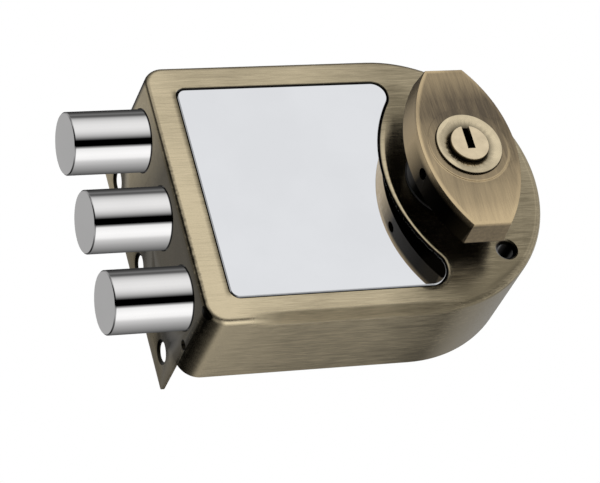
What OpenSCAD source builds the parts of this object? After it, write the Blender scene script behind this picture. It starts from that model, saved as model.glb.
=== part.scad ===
// Surface-mounted door lock with three round bolts, a mirror front and a keyed turn knob.
// Every piece is drawn lying flat on its back: x runs along the bolts, y up the door and
// z out of the door, with the knob's axis at x = 0, y = 0 and the door's face at z = 0.
// on_door() then stands the lock up, so that +Z is up and the knob faces -Y.

/* [Case] */
// Half the height of the case, which is also the radius of its round end
case_half = 47; // [46.5:0.5:50]
// From the knob's axis to the outside of the wall that the bolts come through
backset = 92.7; // [91.5:0.1:96]
// From the knob's axis to the tip of the case's round end
end_reach = 31.6; // [31.2:0.1:33]
// Depth of the case from the door's face to its front
case_depth = 33.2; // [33:0.1:35]
// Thickness of the side walls
wall = 3; // [2.6:0.1:3.2]
// Thickness of the front behind the knob
front_wall = 4.2; // [4.1:0.1:4.4]
// Radius of the two square corners, seen from the front
corner_r = 7; // [6:0.5:8]
// Rounding where the front meets the sides
edge_r = 2; // [1.5:0.1:2.5]
// How far the solid block that guides the bolts reaches inwards
guide_block = 9.2; // [8.5:0.1:9.4]
// Depth of the small blind hole low in the edge wall
gauge_hole_depth = 4; // [2:0.5:4]
// Diameter of the small blind hole
gauge_hole_d = 3.2; // [2:0.1:3.4]

/* [Edge flange] */
// How far the flange reaches back along the door's edge
flange_depth = 17.5; // [15:0.5:22]
// From the top and bottom of the case to the flange's ends
flange_margin = 5.8; // [5:0.1:8]
// Thickness of the flange
flange_t = 1; // [0.8:0.1:2]
// Rounding of the flange's free corners
flange_corner_r = 1; // [0.5:0.5:4]
// Distance between the flange's screw holes
flange_hole_pitch = 32; // [28:0.5:34]
// From the door's face back to the row of flange screw holes
flange_hole_back = 9.3; // [7:0.1:11]
// Diameter of the flange's screw holes
flange_hole_d = 6.4; // [4:0.1:6.6]
// Diameter of their countersinks
flange_sink_d = 8.6; // [7.5:0.1:9]

/* [Bolts] */
// Diameter of a bolt
bolt_d = 20; // [19:0.1:20.2]
// From the top and bottom of the case to the outer bolts' axes
bolt_margin = 18; // [17.8:0.1:18.4]
// How far the bolts' axes lie below the front
bolt_drop = 14.6; // [14.4:0.1:15]
// How far the thrown bolts stand out of the edge wall
bolt_out = 25.4; // [24.5:0.1:27]
// Whole length of a bolt
bolt_len = 55.4; // [54:0.1:57]
// Bevel round the nose of a bolt
bolt_bevel = 0.4; // [0.2:0.1:1]
// Depth of the wiper groove round each bolt at the wall
wiper_depth = 0.4; // [0.2:0.1:0.6]
// Width of the wiper groove
wiper_w = 0.95; // [0.5:0.05:1.2]
// Gap round a bolt where it comes through the wall
bolt_gap = 0.35; // [0.3:0.05:0.5]
// Wall thickness of a guide bush
bush_wall = 1.45; // [1.2:0.05:1.6]
// Thickness of the outer lip that keeps the bushes in
bush_lip = 2.5; // [2:0.1:3]

/* [Carriage] */
// Thickness of the bar that joins the bolts
bar_t = 6; // [5:0.5:6.5]
// How far the bar reaches past the outer bolts' axes
bar_end = 10; // [8:0.5:10.5]
// Width of the bar, measured out of the door
bar_w = 19.4; // [18:0.1:19.6]
// Diameter of the rods that the bar slides on
rod_d = 5; // [4:0.1:5.2]
// How far the rods' axes lie below the inside of the front
rod_drop = 5.5; // [5:0.1:6]
// Diameter of the screws that hold the bolts
bolt_screw_d = 6; // [5:0.5:6]

/* [Rack and pinion] */
// Tooth module
tooth_m = 1; // [1:0.01:1.02]
// Teeth on the pinion
pinion_teeth = 15; // [15:1:15]
// Pressure angle of the teeth
pressure_angle = 20; // [20:1:22]
// Play between the teeth
backlash = 0.08; // [0.06:0.01:0.15]
// Height above the door's face at which the rack starts
rack_z = 8.2; // [7.8:0.1:8.4]
// Face width of the rack
rack_w = 7.6; // [7:0.1:7.8]
// Depth of the rack's bar behind the tooth roots
rack_back = 2.75; // [2.5:0.05:3]
// Thickness of the rack's foot
foot_t = 4; // [3.5:0.1:4]
// How far the foot reaches below the rack's back
foot_drop = 11.5; // [10:0.5:12]
// How far the rack reaches past the pinion's axis
rack_past = 1.6; // [1.6:0.1:1.8]
// Height of the pinion's hub above its teeth
hub_h = 4; // [3:0.5:5]

/* [Spindle] */
// Diameter of the spindle
spindle_d = 10; // [9:0.1:10.4]
// Diameter of the flange that holds the knob in
flange_plate_d = 31; // [30.8:0.1:33]
// Thickness of that flange
flange_plate_t = 3; // [2.5:0.1:3.2]
// Length of the slot for an outside cylinder's tail bar
tail_slot_l = 7.6; // [6:0.1:8]
// Width of that slot
tail_slot_w = 2.4; // [2:0.1:3]
// Depth of that slot
tail_slot_depth = 6; // [4:0.5:7]

/* [Mirror panel] */
// From the outside of the edge wall to the panel's recess
panel_margin = 9; // [8.6:0.1:12]
// From the top and bottom of the case to the recess
frame_margin = 8.2; // [7.6:0.1:10]
// Radius of the concave edge beside the knob
arc_r = 48.5; // [47:0.5:50]
// Centre of that edge, to the right of the knob's axis
arc_x = 27.7; // [27:0.1:29]
// Centre of that edge, above the knob's axis
arc_y = 2.4; // [0:0.1:3]
// Radius of the recess's two square corners
panel_corner_r = 3.5; // [2:0.5:6]
// Radius of the upper corner beside the knob
horn_top_r = 5.5; // [4.5:0.5:6.5]
// Radius of the lower corner beside the knob
horn_low_r = 7; // [5:0.5:8]
// How far the mirror lies below the front
mirror_drop = 0.2; // [0.1:0.1:1.2]
// Thickness of the mirror plate
mirror_t = 0.8; // [0.6:0.1:0.9]
// Thickness of the adhesive pad behind it
tape_t = 0.3; // [0.2:0.1:0.3]
// Gap round the mirror plate
mirror_gap = 0.9; // [0.3:0.1:1.2]

/* [Back plate] */
// Thickness of the back plate
plate_t = 2; // [1.5:0.1:2.4]
// Width of the rebate that the plate sits in
rebate = 1.5; // [1.3:0.1:1.8]
// Gap round the back plate
plate_gap = 0.1; // [0.05:0.05:0.3]
// Diameter of the back plate's screws
plate_screw_d = 3; // [2.5:0.1:3.2]
// Diameter of the two fixing holes that go through the whole lock
fixing_d = 5.2; // [4:0.1:5.4]
// Diameter of their countersinks in the front
fixing_sink_d = 7.8; // [7:0.1:8.4]
// Distance of the fixing holes to the right of the knob's axis
fixing_x = 12.8; // [12:0.1:13.4]
// From the top and bottom of the case to the fixing holes
fixing_margin = 20; // [19.4:0.1:21]

/* [Knob] */
// Half the length of the knob's grip
grip_half_l = 28.9; // [26:0.1:31]
// Half the width of the grip across its middle
grip_half_w = 16.3; // [15.8:0.1:18]
// Half the width of the grip's flat ends
grip_end_half_w = 6.4; // [5:0.1:8]
// Height of the grip's underside above the case's front
grip_rise = 10; // [9:0.1:11]
// Thickness of the grip at its ends
grip_t = 9.2; // [8.6:0.1:10]
// Rise of the grip's crown from its ends to its middle
grip_crown = 0.6; // [0.3:0.1:1.5]
// How far the grip's sides spread towards its underside
grip_draft = 1; // [0.5:0.1:1.5]
// Diameter of the neck where it turns in the case
neck_d = 26; // [25.8:0.1:26.4]
// Diameter of the neck's wider part above the case
shoulder_d = 28; // [27.6:0.1:29]
// Thickness of the washer under the shoulder
washer_t = 0.75; // [0.5:0.05:1]
// Running clearance round turning parts, on the radius
running = 0.05; // [0.03:0.01:0.08]
// Diameter of the grub screw that holds the cylinder
grub_d = 3.6; // [3:0.1:4.2]

/* [Cylinder and key plug] */
// Diameter of the cylinder's body inside the knob
shell_d = 18.7; // [18.2:0.1:19]
// Diameter of the cylinder's visible ring
ring_d = 22; // [21:0.1:23]
// How far the ring stands above the knob
ring_rise = 0.75; // [0.4:0.05:1.2]
// Thickness of the ring
ring_t = 2.3; // [2:0.1:3]
// Depth of the dish in the ring
dish_depth = 1; // [0.6:0.1:1.4]
// Diameter of the key plug
plug_d = 12.6; // [12.4:0.1:12.8]
// How far the plug stands above the ring
plug_rise = 0.65; // [0.2:0.05:1]
// Width of the keyhole
key_w = 2.6; // [2:0.1:2.8]
// How far the keyhole reaches below the plug's centre
key_below = 2.2; // [1.8:0.1:2.6]
// Number of wafers in the plug
wafers_n = 5; // [3:1:5]
// Distance between wafers
wafer_pitch = 2.6; // [2.2:0.1:2.8]
// Thickness of a wafer
wafer_t = 0.9; // [0.6:0.1:1.2]

/* [Knob lock] */
// Width of the slide that locks the knob
slide_w = 7.2; // [7:0.1:7.4]
// Thickness of that slide
slide_t = 2.3; // [2:0.1:2.4]
// How far the slide moves when the key makes its quarter turn
slide_travel = 2.2; // [2:0.1:2.2]
// Diameter of the plug's cam pin
cam_pin_d = 2; // [1.6:0.1:2]

/* [Detent] */
// Thickness of the leaf spring's strip
leaf_t = 0.6; // [0.5:0.1:0.7]
// Width of the strip
leaf_w = 6.6; // [5:0.1:7]
// Depth of the notches in the rack's back
notch_depth = 1.2; // [0.9:0.1:1.2]
// Half the width of a notch at the rack's back
notch_half_w = 1.6; // [1.4:0.1:1.8]
// Where the spring's nose stands, along the bolts
notch_x = -10; // [-10.5:0.1:-9.6]
// Length of the spring, from its fixed end to its nose
leaf_len = 18; // [17:0.5:18.5]

/* [Hidden] */
$fn = 96;

eps = 0.01;

// Places along the bolts
wall_x = -backset;
end_x = end_reach - case_half;
block_x = wall_x + guide_block;
bolt_nose_x = wall_x - bolt_out;
bolt_tail_x = bolt_nose_x + bolt_len;
bar_x = bolt_tail_x;
bar_back_x = bar_x + bar_t;
panel_x = wall_x + panel_margin;

// Distances up and down from the knob's axis
bolt_pitch = case_half - bolt_margin;
rod_y = bolt_pitch / 2;
bar_half = bolt_pitch + bar_end;
flange_half = case_half - flange_margin;
panel_half = case_half - frame_margin;
fixing_y = case_half - fixing_margin;

// Heights above the door's face
inner_z = case_depth - front_wall;
bolt_z = case_depth - bolt_drop;
rod_z = inner_z - rod_drop;
grip_z = case_depth + grip_rise;
panel_floor_z = case_depth - mirror_drop - mirror_t - tape_t;
tape_top_z = panel_floor_z + tape_t;
mirror_top_z = tape_top_z + mirror_t;
bar_z = bolt_z - bar_w / 2;

// Rack and pinion, meshed at the lowest point of the pinion
pitch_r = tooth_m * pinion_teeth / 2;
throw = PI * pitch_r;
tip_r = pitch_r + tooth_m;
root_depth = 1.25 * tooth_m;
rack_tip = 0.8 * tooth_m;
rack_root_y = -pitch_r - root_depth;
rack_back_y = rack_root_y - rack_back;
rack_end = 1;
pinion_z = rack_z - 0.2;
pinion_w = rack_w + 0.4;
foot_y0 = rack_back_y - foot_drop;
foot_screw_d = 3;
foot_screw_y = [foot_y0 + foot_screw_d, rack_back_y - foot_screw_d / 2];
foot_screw_slot = 0.6;
bolt_head_d = 1.58 * bolt_screw_d;
bolt_head_h = 4;
bolt_screw_bite = 10;

// Neck, slide and cylinder inside the knob
neck_r = neck_d / 2;
neck_bore_r = neck_r + running;
neck_foot_z = inner_z - 0.1;
shoulder_z = case_depth + washer_t + running;
slide_gap = 0.1;
slide_z = inner_z;
slide_roof_z = slide_z + slide_t + slide_gap;
slide_nose_r = neck_r - 1.5 * slide_gap;
slide_groove_r = neck_r + 1;
notch_gap = 0.25;
notch_r = slide_nose_r + slide_travel + notch_gap;
cam_r = slide_travel / sqrt(2);
cam_y = -slide_travel / 2;
web_t = 2.6;
plug_seat_z = slide_roof_z + web_t;
grip_top_z = grip_z + grip_t + grip_crown;
pad_r = 13.5;
pad_rise = 0.1;
pad_z = grip_top_z + pad_rise;
ring_r = ring_d / 2;
ring_top_z = pad_z + ring_rise;
ring_seat_z = ring_top_z - ring_t;
ring_gap = 0.15;
shell_r = shell_d / 2;
shell_foot_z = plug_seat_z + 2;
plug_r = plug_d / 2;
plug_bore_r = plug_r + running;
plug_top_z = ring_top_z + plug_rise;
clip_z = plug_seat_z + 0.5;
clip_t = 1;
clip_depth = 0.8;
clip_r = plug_r + 1.2;
key_slot_z = plug_seat_z + 3.5;
first_wafer_z = plug_top_z - 4.5;
wafer_w = 4.6;
wafer_half_h = plug_r - 0.7;
wafer_gap = 0.05;
cam_pin_r = cam_pin_d / 2;
cam_pin_len = 3;
grub_angle = 203.5;
grub_z = grip_z + 5.2;
grub_len = 5.5;
grub_socket_r = 1;

// Spindle and back plate
spindle_r = spindle_d / 2;
flange_plate_z = neck_foot_z - flange_plate_t;
spindle_foot_z = 0.4;
bush_flange_t = 1.5;
bush_r = spindle_r + 2.5;
bush_flange_r = bush_r + 1.5;
spindle_screw_ring = 10;
spindle_screw_d = 2.6;
post_r = 4;
post_gap = 1.1;
post_x = bar_back_x + throw + post_gap + post_r;
plate_screw_in = 5.6;
plate_screws = [
    [wall_x + plate_screw_in, case_half - plate_screw_in],
    [wall_x + plate_screw_in, -case_half + plate_screw_in],
    [post_x, case_half - plate_screw_in - wall],
    [post_x, -case_half + plate_screw_in + wall],
    [end_reach - plate_screw_in, 0]
];
plate_screw_bite = 5;
spindle_screw_bite = 4;
tube_wall = 1.6;
tube_r = fixing_sink_d / 2 + tube_wall;
rack_guide_screw_d = 2;
rack_guide_w = 10;
rack_guide_t = 4.4;
rack_guide_x0 = 0.4 * rack_guide_w - rack_guide_w;
rack_guide_x1 = rack_guide_x0 + rack_guide_w;
rack_guide_y1 = rack_back_y - 2 * running;
rack_guide_y0 = rack_guide_y1 - rack_guide_t;
rack_guide_top = rack_z + rack_w + 0.5;
rack_guide_screw_x = [rack_guide_x0 + rack_guide_screw_d, rack_guide_x1 - rack_guide_screw_d];

// Posts inside the case
rod_post_gap = 1.4;
rod_post_x0 = bar_back_x + throw + rod_post_gap;
rod_post_t = 4;
rod_post_half = 4;
rod_post_z = rod_z - 4;
rod_inset = 4.7;
rod_x0 = wall_x + rod_inset;
rod_x1 = rod_post_x0 + rod_post_t - 0.5;
detent_post_x = notch_x - leaf_len;
detent_post_w = 6;
detent_post_h = 3.8;
leaf_drop = 7.7;
detent_post_y1 = rack_back_y - leaf_drop;
detent_post_y0 = detent_post_y1 - detent_post_h;
rivet_in = 1.7;
leaf_z = rack_z + (rack_w - leaf_w) / 2;
nose_gap = 0.45;
nose_half = 1.3;
nose_tail = 0.6;
gauge_hole_up = 6.7;
gauge_hole_y = -case_half + gauge_hole_up;
gauge_hole_z = 9.5;

// Stands the lock up on its door
module on_door() {
    rotate([90, 0, 0]) children();
}

// Round bar along x, from one place to another
module bar_along_x(x0, x1, r) {
    translate([x0, 0, 0]) rotate([0, 90, 0]) cylinder(r = r, h = x1 - x0);
}

// Cone along x, narrowing or widening from one place to another
module cone_along_x(x0, x1, r0, r1) {
    translate([x0, 0, 0]) rotate([0, 90, 0]) cylinder(r1 = r0, r2 = r1, h = x1 - x0);
}

// Box between two corners
module box(low, high) {
    translate(low) cube(high - low);
}

// The case's outline drawn in by an amount, as a plain block
module case_block(inset, z0, z1) {
    translate([0, 0, z0]) {
        translate([end_x, 0, 0]) cylinder(r = case_half - inset, h = z1 - z0);
        box([wall_x + corner_r, -case_half + inset, 0], [end_x, case_half - inset, z1 - z0]);
        box([wall_x + inset, -case_half + corner_r, 0], [wall_x + corner_r + eps, case_half - corner_r, z1 - z0]);
        for (side = [-1, 1])
            translate([wall_x + corner_r, side * (case_half - corner_r), 0])
                cylinder(r = corner_r - inset, h = z1 - z0);
    }
}

// Corner of a section that is taken away to round the front edge
module corner_waste(reach) {
    translate([reach - edge_r, case_depth - edge_r]) difference() {
        square(edge_r + 1);
        circle(r = edge_r);
    }
}

// Section of the case from an axis out to its side
module side_section(reach) {
    difference() {
        square([reach, case_depth]);
        corner_waste(reach);
    }
}

// The whole block with its front edge rounded: the round end, the middle, the edge wall and
// its corners, round a core that joins them
module rounded_case() {
    corner_y = case_half - corner_r;
    case_block(wall / 3, 1, case_depth - edge_r);
    case_block(edge_r + 1, case_depth - front_wall + 1, case_depth - 1);
    translate([end_x, 0, 0]) rotate([0, 0, -90]) rotate_extrude(angle = 180) side_section(case_half);
    translate([wall_x + corner_r, 0, 0]) {
        rotate([90, 0, 90]) linear_extrude(end_x - wall_x - corner_r) difference() {
            translate([-case_half, 0]) square([2 * case_half, case_depth]);
            corner_waste(case_half);
            mirror([1, 0]) corner_waste(case_half);
        }
        translate([0, corner_y, 0])
            rotate([90, 0, 0]) linear_extrude(2 * corner_y) mirror([1, 0]) side_section(corner_r);
        for (side = [-1, 1])
            translate([0, side * corner_y, 0])
                rotate([0, 0, 135 - 45 * side]) rotate_extrude(angle = 90) side_section(corner_r);
    }
}

// Cuts a corner beside the knob down to a rounded horn that is tangent to the arc
module horn_trim(centre_x, centre_y, r, side, z0, z1) {
    far = case_half;
    difference() {
        translate([0, 0, z0]) linear_extrude(z1 - z0) polygon([
            [centre_x, centre_y], [centre_x, side * far], [far, side * far], [arc_x, arc_y]
        ]);
        translate([centre_x, centre_y, z0 - 1]) cylinder(r = r, h = z1 - z0 + 2);
    }
}

// The mirror's outline drawn in by an amount: a rectangle with a concave edge beside the knob
module panel_block(inset, z0, z1) {
    top_y = panel_half - horn_top_r;
    low_y = -panel_half + horn_low_r;
    top_x = arc_x - sqrt((arc_r + horn_top_r) ^ 2 - (top_y - arc_y) ^ 2);
    low_x = arc_x - sqrt((arc_r + horn_low_r) ^ 2 - (low_y - arc_y) ^ 2);
    difference() {
        box([panel_x + inset, -panel_half + inset, z0], [arc_x, panel_half - inset, z1]);
        translate([arc_x, arc_y, z0 - 1]) cylinder(r = arc_r + inset, h = z1 - z0 + 2);
        horn_trim(top_x, top_y, horn_top_r - inset, 1, z0 - 1, z1 + 1);
        horn_trim(low_x, low_y, horn_low_r - inset, -1, z0 - 1, z1 + 1);
        for (side = [-1, 1])
            translate([panel_x + panel_corner_r, side * (panel_half - panel_corner_r), z0 - 1])
                difference() {
                    box([-panel_corner_r - 1, min(0, side * (panel_corner_r + 1)), 0],
                        [0, max(0, side * (panel_corner_r + 1)), z1 - z0 + 2]);
                    translate([0, 0, -1]) cylinder(r = panel_corner_r - inset, h = z1 - z0 + 4);
                }
    }
}

// Repeats its child on the three bolt axes
module on_bolt_axes() {
    for (k = [-1:1]) translate([0, k * bolt_pitch, bolt_z]) children();
}

// Repeats its child on the two rod axes
module on_rod_axes() {
    for (side = [-1, 1]) translate([0, side * rod_y, rod_z]) children();
}

// Flange along the door's edge, one casting with the edge wall
module edge_flange() {
    corner_y = flange_half - flange_corner_r;
    root_y = case_half - corner_r;
    box([wall_x, -corner_y, -flange_depth], [wall_x + flange_t, corner_y, 0]);
    box([wall_x, -flange_half, -flange_depth + flange_corner_r],
        [wall_x + flange_t, flange_half, 0]);
    box([wall_x, -root_y, -plate_t], [wall_x + min(flange_t, rebate), root_y, plate_t]);
    for (side = [-1, 1])
        translate([0, side * corner_y, -flange_depth + flange_corner_r])
            bar_along_x(wall_x, wall_x + flange_t, flange_corner_r);
}

module flange_holes() {
    sink_depth = min((flange_sink_d - flange_hole_d) / 2, flange_t - 0.4);
    for (k = [-1:1])
        translate([0, k * flange_hole_pitch, -flange_hole_back]) {
            bar_along_x(wall_x - 1, wall_x + flange_t + 1, flange_hole_d / 2);
            cone_along_x(wall_x - eps, wall_x + sink_depth, flange_sink_d / 2 + eps, flange_hole_d / 2);
        }
}

// Screw posts, fixing tubes and rod posts that stand on the inside of the front
module case_posts() {
    root_z = inner_z + 0.5;
    for (p = plate_screws)
        translate([p[0], p[1], plate_t]) cylinder(r = post_r, h = root_z - plate_t);
    for (side = [-1, 1]) {
        translate([fixing_x, side * fixing_y, plate_t]) cylinder(r = tube_r, h = root_z - plate_t);
        box([rod_post_x0, side * rod_y - rod_post_half, rod_post_z],
            [rod_post_x0 + rod_post_t, side * rod_y + rod_post_half, root_z]);
    }
    box([detent_post_x, detent_post_y0, rack_z], [detent_post_x + detent_post_w, detent_post_y1, root_z]);
}

module housing() {
    on_door() color("darkkhaki") difference() {
        union() {
            rounded_case();
            edge_flange();
        }
        // Inside, all round the guide block and the posts
        difference() {
            case_block(wall, -eps, inner_z);
            box([wall_x, -case_half, plate_t], [block_x, case_half, inner_z + 1]);
            case_posts();
        }
        // Seat of the back plate
        case_block(rebate, -eps, plate_t);
        // Bolt holes with their wider bush seats, and the rod holes
        on_bolt_axes() {
            bar_along_x(wall_x - 1, block_x + 1, bolt_d / 2 + bolt_gap);
            bar_along_x(wall_x + bush_lip, block_x + 1, bolt_d / 2 + running + bush_wall);
        }
        on_rod_axes() bar_along_x(rod_x0, rod_post_x0 + rod_post_t + 1, rod_d / 2);
        // Recess for the mirror
        panel_block(0, panel_floor_z, case_depth + 1);
        // Seat of the knob's neck, with the two notches that the locking slide enters
        translate([0, 0, inner_z - 1]) cylinder(r = neck_bore_r, h = front_wall + 2);
        for (side = [-1, 1])
            box([-slide_w / 2 - 0.15, min(0, side * notch_r), inner_z - 1],
                [slide_w / 2 + 0.15, max(0, side * notch_r), slide_roof_z + slide_gap]);
        // Fixing holes through the case, countersunk in the front
        for (side = [-1, 1]) translate([fixing_x, side * fixing_y, 0]) {
            cylinder(r = fixing_d / 2, h = case_depth + 1);
            translate([0, 0, case_depth - (fixing_sink_d - fixing_d) / 2])
                cylinder(r1 = fixing_d / 2, r2 = fixing_sink_d / 2 + 1, h = (fixing_sink_d - fixing_d) / 2 + 1);
        }
        // Screw holes of the back plate
        for (p = plate_screws)
            translate([p[0], p[1], 0]) cylinder(r = plate_screw_d / 2, h = plate_t + plate_screw_bite);
        // Holes for the detent spring's rivets
        for (x = detent_rivet_x())
            translate([x, detent_post_y0 - 1, leaf_z + leaf_w / 2])
                rotate([-90, 0, 0]) cylinder(r = rivet_r, h = 10);
        flange_holes();
        translate([0, gauge_hole_y, gauge_hole_z])
            bar_along_x(wall_x - 1, wall_x + gauge_hole_depth, gauge_hole_d / 2);
    }
}

module mirror_panel() {
    on_door() color("white") panel_block(mirror_gap, tape_top_z, mirror_top_z);
}

module mirror_tape() {
    on_door() color("gainsboro") panel_block(mirror_gap + 1.2, panel_floor_z, tape_top_z);
}

module back_plate() {
    on_door() color("gray") difference() {
        case_block(rebate + plate_gap, 0, plate_t);
        translate([0, 0, -1]) cylinder(r = bush_r, h = plate_t + 2);
        for (side = [-1, 1])
            translate([fixing_x, side * fixing_y, -1]) cylinder(r = fixing_d / 2, h = plate_t + 2);
        for (p = plate_screws)
            translate([p[0], p[1], 0]) countersunk_hole(plate_screw_d / 2);
        for (x = rack_guide_screw_x)
            translate([x, (rack_guide_y0 + rack_guide_y1) / 2, 0]) countersunk_hole(rack_guide_screw_d / 2);
    }
}

// Hole through the back plate with a cone for a flat screw head on the door side
module countersunk_hole(r) {
    translate([0, 0, -1]) cylinder(r = r, h = plate_t + 2);
    translate([0, 0, -eps]) cylinder(r1 = 2 * r + eps, r2 = r, h = r + eps);
}

// Flat-headed screw from the door side, its head flush
module flat_screw(r, len) {
    difference() {
        union() {
            cylinder(r = r, h = len);
            cylinder(r1 = 2 * r, r2 = r, h = r);
        }
        for (turn = [0, 90])
            rotate([0, 0, turn]) box([-r, -r / 5, -1], [r, r / 5, r / 2]);
    }
}

module back_plate_screws() {
    on_door() color("silver")
        for (p = plate_screws) translate([p[0], p[1], 0]) flat_screw(plate_screw_d / 2, plate_t + plate_screw_bite);
}

// One bolt, with a bevelled nose, a wiper groove and a tapped tail
module bolt(k) {
    on_door() color("lightgray") translate([0, k * bolt_pitch, bolt_z]) difference() {
        union() {
            cone_along_x(bolt_nose_x, bolt_nose_x + bolt_bevel, bolt_d / 2 - bolt_bevel, bolt_d / 2);
            bar_along_x(bolt_nose_x + bolt_bevel, bolt_tail_x, bolt_d / 2);
        }
        difference() {
            bar_along_x(wall_x - 0.05, wall_x - 0.05 + wiper_w, bolt_d / 2 + 1);
            bar_along_x(wall_x - 1, wall_x + 2 * wiper_w, bolt_d / 2 - wiper_depth);
        }
        bar_along_x(bolt_tail_x - bolt_screw_bite - 1, bolt_tail_x + 1, bolt_screw_d / 2);
    }
}

module bolt_top() { bolt(1); }
module bolt_middle() { bolt(0); }
module bolt_bottom() { bolt(-1); }

// One guide bush, pressed into the block behind the edge wall
module bush(k) {
    on_door() color("goldenrod") translate([0, k * bolt_pitch, bolt_z]) difference() {
        bar_along_x(wall_x + bush_lip, block_x, bolt_d / 2 + running + bush_wall);
        bar_along_x(wall_x, block_x + 1, bolt_d / 2 + running);
    }
}

module bush_top() { bush(1); }
module bush_middle() { bush(0); }
module bush_bottom() { bush(-1); }

module carriage_bar() {
    on_door() color("slategray") difference() {
        box([bar_x, -bar_half, bar_z], [bar_back_x, bar_half, bar_z + bar_w]);
        on_bolt_axes() bar_along_x(bar_x - 1, bar_back_x + 1, bolt_screw_d / 2 + 0.1);
        on_rod_axes() bar_along_x(bar_x - 1, bar_back_x + 1, rod_d / 2 + running);
        for (y = foot_screw_y)
            translate([0, y, rack_z + rack_w / 2]) bar_along_x(bar_x - 1, bar_back_x + 1, foot_screw_d / 2);
    }
}

module bolt_screws() {
    on_door() color("dimgray") on_bolt_axes() difference() {
        union() {
            bar_along_x(bar_x - bolt_screw_bite, bar_back_x + eps, bolt_screw_d / 2);
            bar_along_x(bar_back_x, bar_back_x + bolt_head_h, bolt_head_d / 2);
        }
        translate([bar_back_x + bolt_head_h / 2, 0, 0])
            rotate([0, 90, 0]) cylinder(r = bolt_screw_d * 0.48, h = bolt_head_h, $fn = 6);
    }
}

// One tooth of the rack, on the pitch line
function rack_tooth(x) = let (
        half = PI * tooth_m / 4 - backlash / 2,
        slope = tan(pressure_angle)
    ) [
        [x - half - root_depth * slope, rack_root_y],
        [x - half + rack_tip * slope, -pitch_r + rack_tip],
        [x + half - rack_tip * slope, -pitch_r + rack_tip],
        [x + half + root_depth * slope, rack_root_y]
    ];

// Leftmost tooth, so that the pinion still has a tooth to its left when the bolts are drawn
last_tooth = ceil(throw / (PI * tooth_m)) + 1;

// Notch in the rack's back, as points from right to left
function back_notch(x) = [
        [x + notch_half_w, rack_back_y],
        [x, rack_back_y + notch_depth],
        [x - notch_half_w, rack_back_y]
    ];

module drive_rack() {
    teeth = [for (k = [-last_tooth:0]) each rack_tooth(k * PI * tooth_m)];
    on_door() color("gray") difference() {
        translate([0, 0, rack_z]) {
            linear_extrude(rack_w) polygon(concat(
                [[bar_back_x + eps, rack_back_y], [bar_back_x + eps, rack_root_y]],
                teeth,
                [[rack_past, rack_root_y], [rack_past, rack_back_y + rack_end], [rack_past - rack_end, rack_back_y]],
                back_notch(notch_x),
                back_notch(notch_x - throw)
            ));
            box([bar_back_x, foot_y0, 0], [bar_back_x + foot_t, rack_root_y + 2, rack_w]);
        }
        for (y = foot_screw_y) translate([0, y, rack_z + rack_w / 2]) {
            bar_along_x(bar_back_x - 1, bar_back_x + foot_t + 1, foot_screw_d / 2);
            cone_along_x(bar_back_x + foot_t - foot_screw_d / 2, bar_back_x + foot_t + eps,
                foot_screw_d / 2, foot_screw_d + eps);
        }
    }
}

module rack_screws() {
    head_x = bar_back_x + foot_t;
    on_door() color("dimgray")
        for (y = foot_screw_y) translate([0, y, rack_z + rack_w / 2]) difference() {
            union() {
                bar_along_x(bar_x + 0.5, head_x, foot_screw_d / 2);
                cone_along_x(head_x - foot_screw_d / 2, head_x, foot_screw_d / 2, foot_screw_d);
            }
            box([head_x - foot_screw_slot, -foot_screw_d / 2, -foot_screw_slot / 2],
                [head_x + 1, foot_screw_d / 2, foot_screw_slot / 2]);
        }
}

module guide_rod(side) {
    on_door() color("silver") translate([0, side * rod_y, rod_z]) bar_along_x(rod_x0, rod_x1, rod_d / 2);
}

module guide_rod_upper() { guide_rod(1); }
module guide_rod_lower() { guide_rod(-1); }

// Block on the back plate that keeps the rack in mesh
module rack_guide() {
    on_door() color("ivory") difference() {
        box([rack_guide_x0, rack_guide_y0, plate_t], [rack_guide_x1, rack_guide_y1, rack_guide_top]);
        for (x = rack_guide_screw_x)
            translate([x, (rack_guide_y0 + rack_guide_y1) / 2, 0])
                cylinder(r = rack_guide_screw_d / 2, h = plate_t + 5);
    }
}

module rack_guide_screws() {
    on_door() color("silver")
        for (x = rack_guide_screw_x)
            translate([x, (rack_guide_y0 + rack_guide_y1) / 2, 0]) flat_screw(rack_guide_screw_d / 2, 6.5);
}

// Leaf spring that clicks into the rack's notches at both ends of the throw
rivet_r = 0.8;
function detent_rivet_x() = [detent_post_x + rivet_in, detent_post_x + detent_post_w - rivet_in];

module detent_spring() {
    foot_y = detent_post_y1;
    slope = notch_depth / notch_half_w;
    peak_y = rack_back_y + notch_depth - nose_gap;
    lip_y = peak_y - nose_half * slope;
    bend_x = detent_post_x + detent_post_w + leaf_t;
    on_door() color("steelblue") difference() {
        translate([0, 0, leaf_z]) linear_extrude(leaf_w) polygon([
            [detent_post_x, foot_y + leaf_t], [bend_x, foot_y + leaf_t],
            [notch_x - nose_half, lip_y], [notch_x, peak_y], [notch_x + nose_half, lip_y],
            [notch_x + nose_half + nose_tail, lip_y - leaf_t],
            [notch_x + nose_half - leaf_t / 2, lip_y - leaf_t], [notch_x, peak_y - 1.2 * leaf_t],
            [notch_x - nose_half + leaf_t / 2, lip_y - leaf_t],
            [bend_x + leaf_t / 2, foot_y], [detent_post_x, foot_y]
        ]);
        for (x = detent_rivet_x())
            translate([x, foot_y - 1, leaf_z + leaf_w / 2]) rotate([-90, 0, 0]) cylinder(r = rivet_r, h = 3);
    }
}

module detent_rivets() {
    on_door() color("goldenrod")
        for (x = detent_rivet_x()) translate([x, 0, leaf_z + leaf_w / 2]) rotate([-90, 0, 0]) {
            translate([0, 0, detent_post_y0]) cylinder(r = rivet_r, h = detent_post_y1 - detent_post_y0 + leaf_t + eps);
            translate([0, 0, detent_post_y1 + leaf_t]) cylinder(r1 = 1.6 * rivet_r, r2 = rivet_r, h = 0.7);
        }
}

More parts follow.
